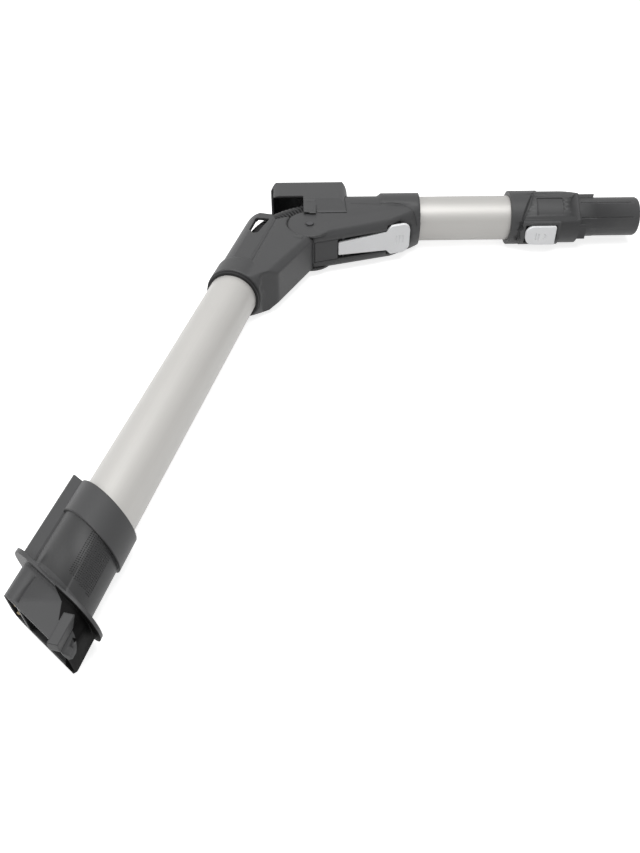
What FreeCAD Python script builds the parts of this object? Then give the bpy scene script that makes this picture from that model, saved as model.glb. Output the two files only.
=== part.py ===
import FreeCAD, Part
import os
import math
import Sketcher

# Bendable vacuum wand, lying on its side: +X runs along the short upper tube towards its spigot,
# +Y is the outer side of the bend, +Z is up. Every piece is modelled on the straight wand, whose
# axis is X with the hinge pin beside x = 0, and the lower group is then turned about the pin.

doc = FreeCAD.newDocument("bendable_wand")
sheet = doc.addObject("Spreadsheet::Sheet", "sizes")
SIZES = {
    "rest_bend": 74.3, "pin_offset": 38,
    # tubes
    "tube_radius": 19, "tube_wall": 1, "upper_rim": 95.7, "end_rim": 175, "lower_rim": 90.5,
    "tube_seat": 22, "connector_rim": 327,
    # hinge housings
    "wall": 2.4, "side_half": 19.5, "side_taper": 3, "edge_bevel": 3, "gap": 0.4,
    "ear_radius": 19, "ear_inner": 15, "ear_top": 28, "pin_radius": 3, "pin_fit": 0.05,
    "upper_knee": 2.2, "knee_lift": 1, "upper_knee_depth": "=pin_offset + ear_radius - knee_lift",
    "upper_face_end": 82, "upper_face_depth": 33,
    "upper_rim_depth": 24, "core_start": 14, "core_outer": 19.7, "raise_start": 59,
    "raise_slope": 4, "collar_radius": 22.2, "hose_room": 16.6, "drum_radius": 16.5, "drum_wall": 3,
    "drum_half": 10.8,
    "lower_knee": 17, "lower_knee_depth": 45.5, "lower_face_end": 73, "lower_face_depth": 31.5,
    "lower_slope_end": 83, "lower_rim_depth": 21, "yoke_outer": 20.6, "yoke_collar": 22, "seam_depth": 9,
    "cover_end": 70, "plate_end": 2, "lobe_end": 4.5, "lobe_top": 16, "wing_top": 11,
    "bar_end": 4.5, "bar_width": 7, "window_length": 26, "window_low": 4, "window_high": 8,
    "tongue_radius": 14.8, "tongue_inner": 11.2, "rim_cone": 6, "rim_cone_length": 11, "yoke_cone": 8.6,
    "seal_width": 3,
    # hood
    "hood_left": 34.5, "hood_right": 34, "hood_top": 35, "hood_half": 22, "hood_wall": 2,
    "hood_cheek": 5, "hood_band": 3, "hood_round": 15, "hood_left_round": 20, "hood_edge": 10,
    "hood_end_round": 9, "hood_lip": 21, "hood_fall": -2, "hood_foot": -24, "hood_sink": 1.5,
    "hood_tab_end": 4,
    "hood_skirt": 24, "hood_thin": 1.2, "bar_play": 1.2,
    # latch behind the hinge and its lever
    "hook_pin_x": 20, "hook_pin_y": 27, "hook_pin_radius": 1.5, "hook_half": 5, "hook_arm": 5,
    "hook_reach": 27, "hook_nose": 6, "hook_depth": 3.6, "hook_tail": 7, "notch_play": 1.2,
    "lever_start": 24, "lever_end": 86, "lever_neck": 5.6, "lever_neck_end": 8.8, "lever_pad": 13.2,
    "lever_pad_length": 16.5,
    "lever_thickness": 3, "lever_play": 0.5, "lever_stroke": 3,
    "lever_pin_radius": 1.5, "tray_start": 3.5, "tray_half": 9.5,
    "tray_thickness": 1.5,
    # hose
    "hose_radius": 14.5, "hose_wall": 1.5, "cuff_length": 16, "hose_start": 18, "cuff_start": 50,
    # spigot end
    "collar_end": 235, "end_collar_radius": 23, "shoulder_end": 251, "shoulder_radius": 19.5,
    "shoulder_low": 6, "land_level": 22.2, "land_start": 182.5, "land_lean": 27, "panel_roll": 35.5,
    "panel_half": 8.3, "panel_level": 21.2, "panel_start": 197.5, "panel_end": 220, "scallop_radius": 15,
    "scallop_roll": 34,
    "scallop_level": 18.4, "scallop_depth": 9, "ledge_end": 242,
    "spigot_end": 289, "spigot_radius": 16.55, "spigot_wall": 1.75, "spigot_step": 0.25,
    "end_chamfer": 1.5,
    "terminal_reach": 27.5, "terminal_half": 7, "terminal_wall": 1.6, "terminal_room": 4,
    "button_at": 188, "button_length": 26, "button_drop": 4, "button_half": 8.5, "button_depth": 4.4,
    "button_rise": 3,
    "button_stroke": 2, "button_seat": 0.3, "button_round": 2, "button_nose": 7,
    "blade_length": 14, "blade_width": 3.6, "blade_thickness": 0.8, "blade_spacing": 2.8,
    # connector end
    "cut_tilt": 29, "cut_roll": 13, "connector_radius": 22.6, "grip_radius": 21,
    "grip_reach": 24, "flange_reach": 62.5, "mouth_reach": 89, "catch_reach": 84, "flange_thickness": 3,
    "grip_start": "=connector_rim + grip_reach", "flange_at": "=connector_rim + flange_reach",
    "mouth_at": "=connector_rim + mouth_reach", "catch_at": "=connector_rim + catch_reach",
    "ridge_reach": 29.8, "ridge_half": 9, "ridge_shift": -1.5,
    "flange_outer": 35.5, "flange_inner": 32, "flange_half": 17.5, "nose_outer": 25,
    "nose_inner": 25.5, "nose_half": 13.5, "nose_round": 8, "nose_heel": 4, "nose_wall": 2,
    "airway_radius": 17.6,
    "divider_at": 11, "divider": 2, "catch_length": 19, "catch_rise": 4,
    "catch_side": 16, "catch_width": 6, "terminal_depth": 14, "block_depth": 8, "fit": 0.3,
    "contact_radius": 1.2, "contact_length": 9, "contact_spacing": 3.5,
}
for row, (alias, value) in enumerate(SIZES.items(), start=1):
    sheet.set("A%d" % row, alias)
    sheet.set("B%d" % row, str(value))
    sheet.setAlias("B%d" % row, alias)
doc.recompute()
nodes = []


def bound(expression):
    """An expression in plain cell names, with each name pointed at the sheet."""
    words = []
    word = ""
    for sign in expression + " ":
        if sign.isalnum() or sign == "_":
            word += sign
            continue
        words.append("sizes." + word if word in SIZES else word)
        words.append(sign)
        word = ""
    return "".join(words).strip()


def size(expression):
    """The number that an expression gives now."""
    return float(sheet.evalExpression(bound(str(expression))))


def bind(item, prop, expression, unit=""):
    item.setExpression(prop, bound("(%s) * 1%s" % (expression, unit)) if unit else bound(str(expression)))


def place(item, x="0", y="0", z="0"):
    for axis, expression in (("x", x), ("y", y), ("z", z)):
        bind(item, "Placement.Base." + axis, expression)
    return item


def block(name, x, y, z):
    """A box between pairs of expressions."""
    item = doc.addObject("Part::Box", name)
    for prop, pair in (("Length", x), ("Width", y), ("Height", z)):
        bind(item, prop, "(%s) - (%s)" % (pair[1], pair[0]), "mm")
    return place(item, x[0], y[0], z[0])


TURNS = {"x": ((0, 1, 0), 90), "y": ((1, 0, 0), -90), "z": ((0, 0, 1), 0)}


def rod(name, radius, along, start, end, first="0", second="0"):
    """A cylinder along one axis; first and second are its other two coordinates in order."""
    item = doc.addObject("Part::Cylinder", name)
    bind(item, "Radius", radius, "mm")
    bind(item, "Height", "(%s) - (%s)" % (end, start), "mm")
    vector, angle = TURNS[along]
    item.Placement = FreeCAD.Placement(FreeCAD.Vector(), FreeCAD.Rotation(FreeCAD.Vector(*vector), angle))
    spots = {"x": (start, first, second), "y": (first, start, second), "z": (first, second, start)}
    return place(item, *spots[along])


def frustum(name, radius_start, radius_end, start, end):
    item = doc.addObject("Part::Cone", name)
    bind(item, "Radius1", radius_start, "mm")
    bind(item, "Radius2", radius_end, "mm")
    bind(item, "Height", "(%s) - (%s)" % (end, start), "mm")
    item.Placement = FreeCAD.Placement(FreeCAD.Vector(), FreeCAD.Rotation(FreeCAD.Vector(0, 1, 0), 90))
    return place(item, start)


def fuse(name, *items):
    item = doc.addObject("Part::MultiFuse", name)
    item.Shapes = list(items)
    item.Refine = True
    return item


def common(name, *items):
    item = doc.addObject("Part::MultiCommon", name)
    item.Shapes = list(items)
    return item


def cut(name, base, *tools):
    item = doc.addObject("Part::Cut", name)
    item.Base = base
    item.Tool = tools[0] if len(tools) == 1 else fuse(name + "_cuts", *tools)
    item.Refine = True
    return item


def plane_of(body, role):
    return next(f for f in body.Origin.OriginFeatures if f.Role == role)


def plate(name, role, points, thickness, rounds=(), offset=None):
    """A padded outline, centred on an origin plane or standing on it at an offset.
    rounds pairs a corner's number with a radius."""
    body = doc.addObject("PartDesign::Body", name)
    sketch = body.newObject("Sketcher::SketchObject", name + "_outline")
    sketch.AttachmentSupport = (plane_of(body, role), [""])
    sketch.MapMode = "FlatFace"
    spots = [FreeCAD.Vector(size(a), size(b), 0) for a, b in points]
    for here, there in zip(spots, spots[1:] + spots[:1]):
        sketch.addGeometry(Part.LineSegment(here, there), False)
    for i in range(len(points)):
        sketch.addConstraint(Sketcher.Constraint("Coincident", i, 2, (i + 1) % len(points), 1))
    for i, pair in enumerate(points):
        for kind, expression in zip(("DistanceX", "DistanceY"), pair):
            number = sketch.addConstraint(Sketcher.Constraint(kind, -1, 1, i, 1, size(expression)))
            sketch.setExpression("Constraints[%d]" % number, bound("(%s) * 1mm" % expression))
    pad = body.newObject("PartDesign::Pad", name + "_pad")
    pad.Profile = sketch
    bind(pad, "Length", thickness, "mm")
    pad.Midplane = offset is None
    doc.recompute()
    feature = pad
    for radius in sorted({r for _, r in rounds}):
        corners = [sketch.Placement.multVec(spots[i]) for i, r in rounds if r == radius]
        normal = sketch.Placement.Rotation.multVec(FreeCAD.Vector(0, 0, 1))
        picked = []
        for number, edge in enumerate(feature.Shape.Edges, start=1):
            along = edge.tangentAt(edge.FirstParameter)
            if edge.Curve.TypeId != "Part::GeomLine" or abs(along.dot(normal)) < 0.999:
                continue
            middle = edge.valueAt((edge.FirstParameter + edge.LastParameter) / 2)
            for corner in corners:
                away = middle - corner
                if (away - normal * away.dot(normal)).Length < 1e-4:
                    picked.append("Edge%d" % number)
        fillet = body.newObject("PartDesign::Fillet", name + "_round")
        fillet.Base = (feature, picked)
        bind(fillet, "Radius", radius, "mm")
        doc.recompute()
        feature = fillet
    body.Tip = feature
    return body


def rolled(name, item, angle):
    """The item turned about the wand's own axis."""
    own = doc.addObject("Part::Refine", name)
    own.Source = item
    own.Placement = FreeCAD.Placement(FreeCAD.Vector(), FreeCAD.Rotation(FreeCAD.Vector(1, 0, 0), 1))
    bind(own, "Placement.Rotation.Angle", angle, "deg")
    return own


def band_side(name, side):
    """A big box on one side of the slanted step between the band and the land of the end collar."""
    item = doc.addObject("Part::Box", name)
    for prop in ("Length", "Width", "Height"):
        bind(item, prop, "4 * end_collar_radius", "mm")
    start = FreeCAD.Vector(size("land_start"), -size("end_collar_radius"), 0)
    turn = FreeCAD.Rotation(FreeCAD.Vector(0, 0, 1), -size("land_lean"))
    half = 2 * size("end_collar_radius")
    corner = turn.multVec(FreeCAD.Vector(-2 * half if side > 0 else 0, -half, -half))
    item.Placement = FreeCAD.Placement(start + corner, turn)
    return item


def bevels(name, x, y, lean):
    """Two long blocks that trim the edges between an inner face, which passes through x, y
    and leans by an angle, and the two side faces."""
    along = FreeCAD.Vector(math.cos(math.radians(lean)), math.sin(math.radians(lean)), 0)
    blocks = []
    for side in (1, -1):
        out = FreeCAD.Vector(along.y, -along.x, side).normalize()
        across = out.cross(along)
        start = FreeCAD.Vector(size(x), size(y), side * size("side_half - side_taper - edge_bevel"))
        item = doc.addObject("Part::Box", "%s_%s" % (name, "upper" if side > 0 else "lower"))
        bind(item, "Length", "upper_rim * 3", "mm")
        bind(item, "Width", "side_half * 3", "mm")
        bind(item, "Height", "side_half * 3", "mm")
        corner = start - along * size("upper_rim * 1.5") - across * size("side_half * 1.5")
        item.Placement = FreeCAD.Placement(corner, FreeCAD.Rotation(along, across, out, "ZXY"))
        blocks.append(item)
    return blocks


def sub_part(name, item, turned=False):
    """Names a finished piece; pieces of the lower group are turned to the bend at rest."""
    item.Label = name
    bend = FreeCAD.Placement()
    if turned:
        centre = FreeCAD.Vector(0, -size("pin_offset"), 0)
        axis = FreeCAD.Rotation(FreeCAD.Vector(0, 0, 1), size("rest_bend"))
        bend = FreeCAD.Placement(FreeCAD.Vector(), axis, centre)
    nodes.append((name, item, bend))
    return item


def section(name, outer, length_from, length_to, bottom="60"):
    """A solid along X: round on the outer side, tapering to the inner side, clipped at the side faces."""
    round_part = rod(name + "_round", outer, "x", length_from, length_to)
    sides = plate(
        name + "_sides", "YZ_Plane",
        [("0", "side_half"), ("-(%s)" % bottom, "side_half - side_taper"),
         ("-(%s)" % bottom, "side_taper - side_half"), ("0", "-side_half")],
        "2 * (abs(%s) + abs(%s))" % (length_to, length_from))
    clip = block(name + "_clip", (length_from, length_to),
                 ("-side_half - %s" % bottom, "2 * side_half"), ("-side_half", "side_half"))
    return common(name, fuse(name + "_form", round_part, sides), clip)


# Hinge pin: one steel rod through both housings, with a flush head at each end
hinge_pin = rod("hinge_pin_rod", "pin_radius", "z", "-side_half + 1", "side_half - 1", "0", "-pin_offset")
sub_part("hinge_pin", hinge_pin)

# Upper core: tube collar, side walls, lever face and hinge ears
FACE_SLOPE = "(upper_knee_depth - upper_face_depth) / (upper_face_end - upper_knee)"


def face_y(x, depth="0"):
    """Place of the upper inner face at x, or of a surface some depth below it."""
    return "-upper_knee_depth + ((%s) - upper_knee) * %s + (%s)" % (x, FACE_SLOPE, depth)


HOLLOW_END = "upper_rim - tube_seat - wall"
LEVER_ROOM = "lever_thickness + lever_play"
core_profile = plate(
    "core_profile", "XY_Plane",
    [("upper_rim", "collar_radius + 5"), ("core_start", "collar_radius + 5"), ("core_start", "-ear_top"),
     ("upper_knee", "-ear_top"), ("upper_knee", "-upper_knee_depth"),
     ("upper_face_end", "-upper_face_depth"), ("upper_rim", "-upper_rim_depth")],
    "2 * side_half + 10", [(5, "8")])
face_lean = math.degrees(math.atan(size(FACE_SLOPE)))
core_form = cut("core_form", common("core_blank", core_profile, section("core_section", "core_outer", "0", "upper_rim")),
                *bevels("core_bevel", "upper_knee", "-upper_knee_depth", face_lean))
core_collar = rod("core_collar", "collar_radius", "x", "raise_start + raise_slope", "upper_rim")
core_slope = frustum("core_slope", "core_outer - 0.3", "collar_radius", "raise_start", "raise_start + raise_slope")
core_hollow = plate(
    "core_hollow", "XY_Plane",
    [(HOLLOW_END, "hose_room"), ("core_start - 30", "hose_room"),
     ("core_start - 30", "-upper_knee_depth - 10"), ("upper_knee", "-upper_knee_depth - 10"),
     ("upper_knee", face_y("upper_knee", LEVER_ROOM + " + tray_thickness")),
     (HOLLOW_END, face_y(HOLLOW_END, LEVER_ROOM + " + lever_stroke + tray_thickness"))],
    "2 * (side_half - side_taper - wall)")
core_bore = rod("core_bore", "tube_radius", "x", "upper_rim - tube_seat", "upper_rim + 1")
core_throat = rod("core_throat", "hose_room", "x", "0", "upper_rim - tube_seat + 1")
tongue_room = rod("core_tongue_room", "tongue_radius + gap", "z", "-ear_inner", "ear_inner", "0", "-pin_offset")
core_cone = frustum("core_cone", "collar_radius + rim_cone * 10", "collar_radius + 0.2",
                    "upper_rim - rim_cone_length * 10", "upper_rim")
core_open = cut("core_open", common("core_rounded", fuse("core_solid", core_form, core_collar, core_slope), core_cone),
                core_hollow, core_bore, core_throat, tongue_room)
core_ears = rod("core_ears", "ear_radius", "z", "-side_half + 0.4", "side_half - 0.4", "0", "-pin_offset")
ear_limit = block("core_ear_limit", ("-ear_radius", "ear_radius"), ("-pin_offset - ear_radius", "ear_radius - pin_offset"),
                  ("-side_half", "side_half"))
ear_room = rod("core_ear_room", "ear_radius + gap", "z", "-ear_inner", "ear_inner", "0", "-pin_offset")
core_ear_tabs = cut("core_ear_tabs",
                    common("core_ear_form", core_ears, ear_limit, section("ear_section", "core_outer", "-ear_radius", "ear_radius")),
                    ear_room)
wing_plan = plate(
    "wing_plan", "XY_Plane",
    [("core_start + 1", "wing_top"), ("bar_end + bar_play", "wing_top"), ("bar_end + bar_play", "-ear_top"),
     ("core_start + 1", "-ear_top")], "2 * side_half + 10")
wings = cut("core_wings", common("wing_form", wing_plan, section("wing_section", "core_outer", "0", "core_start + 1")),
            block("wing_room", ("-1", "core_start + 2"), ("-ear_top - 5", "wing_top + 1"), ("-ear_inner", "ear_inner")))
drum_ring = cut("drum_ring", rod("drum_outer", "drum_radius", "z", "-drum_half", "drum_half", "0", "-pin_offset"),
                rod("drum_inner", "drum_radius - drum_wall", "z", "-drum_half - 1", "drum_half + 1", "0", "-pin_offset"))
drum_part = block("drum_part", ("-drum_radius - 1", "upper_knee + wall"),
                  ("-pin_offset - drum_radius - 1", "-pin_offset - 4"), ("-drum_half", "drum_half"))
LEVER_PIN_X = "lever_start + 4"
LEVER_PIN_Y = face_y(LEVER_PIN_X, "lever_thickness + lever_pin_radius")
lever_bearing = block("lever_bearing", (LEVER_PIN_X + " - 3.5", LEVER_PIN_X + " + 3.5"),
                      (LEVER_PIN_Y + " - 1", LEVER_PIN_Y + " + 3.5"), ("-tray_half - 3", "tray_half + 3"))
boss_room = rod("lever_boss_room", "lever_pin_radius + 2", "z", "-lever_neck", "lever_neck", LEVER_PIN_X, LEVER_PIN_Y)
lever_pin_hole = rod("lever_pin_hole", "lever_pin_radius", "z", "-tray_half", "tray_half", LEVER_PIN_X, LEVER_PIN_Y)
pin_hole = rod("core_pin_hole", "pin_radius", "z", "1 - side_half", "side_half - 1", "0", "-pin_offset")
tray_pocket = plate(
    "tray_pocket", "XY_Plane",
    [("tray_start", face_y("tray_start", "-20")), ("lever_end + lever_play", face_y("lever_end + lever_play", "-20")),
     ("lever_end + lever_play", face_y("lever_end + lever_play", LEVER_ROOM + " + lever_stroke")),
     ("tray_start", face_y("tray_start", LEVER_ROOM))],
    "2 * tray_half + 2 * fit")
PAD_START = "lever_end - lever_pad_length - 4"
pad_pocket = plate(
    "pad_pocket", "XY_Plane",
    [(PAD_START, face_y(PAD_START, "-20")),
     ("lever_end + lever_play", face_y("lever_end + lever_play", "-20")),
     ("lever_end + lever_play", face_y("lever_end + lever_play", LEVER_ROOM + " + lever_stroke")),
     (PAD_START, face_y(PAD_START, LEVER_ROOM + " + lever_stroke"))],
    "2 * lever_pad + 2 * lever_play")
upper_core = cut("upper_core_cut", fuse("core_whole", core_open, core_ear_tabs, wings, common("drum", drum_ring, drum_part), lever_bearing),
                 pin_hole, tray_pocket, pad_pocket, boss_room, lever_pin_hole)
sub_part("upper_core", upper_core)

# Hood over the outer side of the hinge, with a window in each cheek
hood_profile = plate(
    "hood_profile", "XY_Plane",
    [("-hood_left", "hood_top"), ("hood_right", "hood_top"), ("hood_right", "-hood_skirt"),
     ("-hood_left", "-hood_skirt")],
    "2 * hood_half + 10", [(0, "hood_left_round"), (1, "hood_round")])
hood_section = plate(
    "hood_section", "YZ_Plane",
    [("hood_top", "hood_half"), ("-ear_top - 5", "hood_half"), ("-ear_top - 5", "-hood_half"),
     ("hood_top", "-hood_half")],
    "2 * (hood_left + hood_right)", [(0, "hood_edge"), (3, "hood_edge")])
hood_across = plate(
    "hood_across", "YZ_Plane",
    [("hood_top - hood_wall", "hood_half - hood_wall"), ("-ear_top - 5", "hood_half - hood_wall"),
     ("-ear_top - 5", "hood_wall - hood_half"), ("hood_top - hood_wall", "hood_wall - hood_half")],
    "hood_left - hood_wall + core_start",
    [(0, "hood_edge - hood_wall"), (3, "hood_edge - hood_wall")])
place(hood_across, "(core_start - hood_left + hood_wall) / 2")
hood_plan = plate(
    "hood_plan", "XY_Plane",
    [("hood_wall - hood_left", "hood_top - hood_wall"), ("core_start", "hood_top - hood_wall"),
     ("core_start", "-ear_top - 5"), ("hood_wall - hood_left", "-ear_top - 5")],
    "2 * hood_half", [(0, "hood_left_round - hood_wall")])
hood_across_ends = plate(
    "hood_across_ends", "XZ_Plane",
    [("hood_wall - hood_left", "hood_half - hood_wall"), ("core_start", "hood_half - hood_wall"),
     ("core_start", "hood_wall - hood_half"), ("hood_wall - hood_left", "hood_wall - hood_half")],
    "4 * hood_top", [(0, "hood_end_round - hood_wall"), (3, "hood_end_round - hood_wall")])
hood_fillers = []
for side, low_wall, high_wall, low_pad, high_pad in (
        ("near", "side_half - hood_sink - hood_wall", "hood_half", "side_half + 0.1", "hood_half"),
        ("far", "-hood_half", "hood_sink + hood_wall - side_half", "-hood_half", "-side_half - 0.1")):
    hood_fillers.append(block(
        "hood_filler_" + side, ("bar_end + bar_play", "core_start + 1"), ("-ear_top - 5", "hood_fall - 3"),
        (low_wall, high_wall)))
    hood_fillers.append(block(
        "hood_pad_" + side, ("-hood_cheek", "bar_end + bar_play + 1"),
        ("-ear_top - 5", "ear_radius - pin_offset - 1"),
        (low_pad, high_pad)))
hood_inside = cut("hood_inside", common("hood_room", hood_across, hood_plan, hood_across_ends), *hood_fillers)
hood_mouth = block("hood_mouth", ("-hood_left - 1", "0"), ("-ear_top - 5", "hood_lip"),
                   ("hood_wall - hood_half", "hood_half - hood_wall"))
hood_windows = block("hood_windows", ("hood_wall - hood_left", "-hood_cheek"), ("-ear_top - 5", "hood_band"),
                     ("hood_half - hood_wall - 1", "hood_half + 1"))
hood_slopes = []
for side, sign in (("upper", ""), ("lower", "-")):
    slope = plate(
        "hood_slope_" + side, "YZ_Plane",
        [("hood_fall", sign + "hood_half"), ("hood_foot", sign + "(side_half - hood_sink)"),
         ("-ear_top", sign + "(side_half - hood_sink)"), ("-ear_top", sign + "(hood_half + 1)"),
         ("hood_fall", sign + "(hood_half + 1)")], "hood_right + 1 - bar_end - bar_play")
    place(slope, "(hood_right + 1 + bar_end + bar_play) / 2")
    thin = plate(
        "hood_thin_" + side, "YZ_Plane",
        [("hood_fall", sign + "hood_half"), ("hood_fall - 3", sign + "(hood_half - hood_thin)"),
         ("hood_tab_end - hood_skirt", sign + "(hood_half - hood_thin)"),
         ("-hood_skirt", sign + "(side_half + 0.3)"), ("-ear_top", sign + "(side_half + 0.3)"),
         ("-ear_top", sign + "(hood_half + 1)"),
         ("hood_fall", sign + "(hood_half + 1)")], "hood_cheek + bar_end + bar_play")
    place(thin, "(bar_end + bar_play - hood_cheek) / 2")
    hood_slopes += [slope, thin]
hook_room = block("hook_room", ("core_start - 1", "hood_right - hood_wall"), ("0", "hood_top - hood_wall"),
                  ("-hook_half - 2", "hook_half + 2"))
core_stand_in = common(
    "core_stand_in", section("hood_seat_section", "core_outer", "bar_end + bar_play", "hood_right + 1"),
    block("hood_seat", ("bar_end + bar_play", "hood_right + 1"), ("-ear_top - 5", "hood_top"), ("-hood_half", "hood_half")))
ear_seat = rod("hood_ear_seat", "ear_radius + 0.1", "z", "-side_half", "side_half", "0", "-pin_offset")
hook_pin_hole = rod("hood_hook_pin_hole", "hook_pin_radius", "z", "-hook_half - 5", "hook_half + 5",
                    "hook_pin_x", "hook_pin_y")
hood_ends = plate(
    "hood_ends", "XZ_Plane",
    [("-hood_left", "hood_half"), ("hood_right", "hood_half"), ("hood_right", "-hood_half"),
     ("-hood_left", "-hood_half")],
    "4 * hood_top", [(k, "hood_end_round") for k in range(4)])
upper_hood = cut("upper_hood_cut", common("hood_form", hood_profile, hood_section, hood_ends), hood_inside, hood_mouth,
                 hood_windows, hook_room, core_stand_in, ear_seat, hook_pin_hole, *hood_slopes)
sub_part("upper_hood", upper_hood)

# Latch hook under the hood, its pin and its spring
hook_profile = plate(
    "hook_profile", "XY_Plane",
    [("hook_pin_x + hook_tail", "hook_pin_y + 2.5"), ("hook_pin_x - hook_reach", "hook_pin_y - 1"),
     ("hook_pin_x - hook_reach", "hook_pin_y - hook_arm - hook_depth"),
     ("hook_pin_x - hook_reach + hook_nose - 2", "hook_pin_y - hook_arm - hook_depth"),
     ("hook_pin_x - hook_reach + hook_nose", "hook_pin_y - hook_arm"),
     ("hook_pin_x + hook_tail", "hook_pin_y - hook_arm + 2")],
    "2 * hook_half", [(0, "1.5"), (1, "2"), (5, "1.5")])
latch_hook = cut("latch_hook_cut", hook_profile,
                 rod("hook_bore", "hook_pin_radius + pin_fit", "z", "-hook_half - 1", "hook_half + 1",
                     "hook_pin_x", "hook_pin_y"))
sub_part("latch_hook", latch_hook)
sub_part("latch_pin", rod("latch_pin_rod", "hook_pin_radius", "z", "-hook_half - 4", "hook_half + 4",
                          "hook_pin_x", "hook_pin_y"))

# Release lever on the inner face: a long neck with a round pad, over a tray in the core
lever_outline = [("lever_start", face_y("lever_start")), ("lever_end", face_y("lever_end")),
                 ("lever_end", face_y("lever_end", "lever_thickness")),
                 ("lever_start", face_y("lever_start", "lever_thickness"))]
lever_profile = plate("lever_profile", "XY_Plane", lever_outline, "2 * lever_pad", [(1, "1.2")])
lever_plan = plate(
    "lever_plan", "XZ_Plane",
    [("lever_start", "lever_neck"), (PAD_START, "lever_neck_end"),
     ("lever_end - lever_pad_length", "lever_pad"), ("lever_end", "lever_pad"),
     ("lever_end", "-lever_pad"), ("lever_end - lever_pad_length", "-lever_pad"),
     (PAD_START, "-lever_neck_end"), ("lever_start", "-lever_neck")],
    "3 * upper_knee_depth", [(0, "1"), (7, "1"), (2, "2"), (5, "2"), (3, "7"), (4, "7")])
lever_boss = rod("lever_boss", "lever_pin_radius + 1.5", "z", "gap - lever_neck", "lever_neck - gap", LEVER_PIN_X, LEVER_PIN_Y)
lever_bore = rod("lever_bore", "lever_pin_radius + pin_fit", "z", "-lever_pad", "lever_pad", LEVER_PIN_X, LEVER_PIN_Y)
push_lever = cut("push_lever_cut", fuse("lever_form", common("lever_shape", lever_profile, lever_plan), lever_boss), lever_bore)
sub_part("push_lever", push_lever)
lever_cap = plate(
    "lever_cap_body", "XY_Plane",
    [("tray_start + fit", face_y("tray_start + fit", "gap")), ("lever_start - 0.7", face_y("lever_start - 0.7", "gap")),
     ("lever_start - 0.7", face_y("lever_start - 0.7", LEVER_ROOM)),
     ("tray_start + fit", face_y("tray_start + fit", LEVER_ROOM))],
    "2 * tray_half")
sub_part("lever_cap", lever_cap)
sub_part("lever_pin", rod("lever_pin_rod", "lever_pin_radius", "z", "-tray_half", "tray_half", LEVER_PIN_X, LEVER_PIN_Y))

# Short upper tube, from the hinge housing into the end collar
short_tube = cut("short_tube_cut", rod("short_tube_outer", "tube_radius", "x", "upper_rim - tube_seat", "end_rim + tube_seat"),
                 rod("short_tube_bore", "tube_radius - tube_wall", "x", "upper_rim - tube_seat - 1", "end_rim + tube_seat + 1"))
sub_part("short_tube", short_tube)

# End collar: a raised band, a lower land with a recessed panel, a scalloped end and the spigot
end_collar_form = fuse(
    "end_collar_form",
    common("end_band", rod("end_collar_sleeve", "end_collar_radius", "x", "end_rim", "collar_end"), band_side("band_part", 1)),
    common("end_land", rod("end_land_sleeve", "land_level", "x", "end_rim", "collar_end"), band_side("land_part", -1)),
    common("end_shoulder", rod("end_shoulder_rod", "shoulder_radius", "x", "collar_end - 1", "shoulder_end"),
           block("end_shoulder_side", ("collar_end - 1", "shoulder_end"), ("shoulder_low", "shoulder_radius"),
                 ("-shoulder_radius", "shoulder_radius"))),
    rod("end_root", "spigot_radius + spigot_step", "x", "collar_end - 1", "shoulder_end"),
    rod("end_spigot", "spigot_radius", "x", "shoulder_end - 1", "spigot_end - end_chamfer"),
    frustum("end_lead", "spigot_radius", "spigot_radius - end_chamfer / 2", "spigot_end - end_chamfer", "spigot_end"),
    block("end_ledge", ("collar_end - 1", "ledge_end"), ("-spigot_radius - 2.5", "0"), ("-11", "2")),
    block("terminal_housing", ("end_rim + 6", "shoulder_end"), ("0", "terminal_reach"),
          ("-terminal_half", "terminal_half")),
    common("button_housing", rod("button_round_rod", "end_collar_radius + button_round", "x", "end_rim", "shoulder_end"),
           block("button_housing_form", ("button_at - 4", "button_at + button_length + 4"),
                 ("-end_collar_radius - button_seat", "0"),
                 ("-button_half - 3 - button_drop", "button_half + 3 - button_drop"))))
end_collar = cut(
    "end_collar_cut", end_collar_form,
    rod("end_tube_seat", "tube_radius", "x", "end_rim - 1", "end_rim + tube_seat"),
    rod("end_bore", "spigot_radius - spigot_wall", "x", "end_rim", "spigot_end + 1"),
    rolled("end_panel", cut("end_panel_form", block("end_panel_block", ("panel_start", "panel_end"),
                                                    ("-panel_half", "panel_half"), ("0", "panel_level + 5")),
                            rod("end_panel_floor", "panel_level", "x", "panel_start - 1", "panel_end + 1")), "panel_roll"),
    rolled("end_scallop", rod("end_scallop_form", "scallop_radius", "z", "scallop_level", "scallop_level + 8",
                              "collar_end + scallop_radius - scallop_depth", "0"), "scallop_roll"),
    block("terminal_space", ("end_rim + 6 + terminal_wall", "shoulder_end + 1"),
          ("terminal_reach - terminal_wall - terminal_room", "terminal_reach - terminal_wall"),
          ("terminal_wall - terminal_half", "terminal_half - terminal_wall")),
    block("button_pocket", ("button_at - fit", "button_at + button_length + fit"),
          ("-end_collar_radius - button_depth", "-end_collar_radius + button_depth - 1"),
          ("-button_half - fit - button_drop", "button_half + fit - button_drop")))
sub_part("end_collar", end_collar)
button_body = plate(
    "lock_button_body", "XZ_Plane",
    [("button_at", "button_half - button_drop"), ("button_at + button_length", "button_half - button_drop"),
     ("button_at + button_length", "-button_half - button_drop"), ("button_at", "-button_half - button_drop")],
    "button_depth + button_rise - 2 - button_stroke", [(0, "button_nose"), (3, "button_nose"), (1, "1"), (2, "1")])
place(button_body, "0", "-end_collar_radius - button_rise + (button_depth + button_rise - 2 - button_stroke) / 2 + 0.5")
sub_part("lock_button", button_body)
blade_holes = []
blades = []
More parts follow.
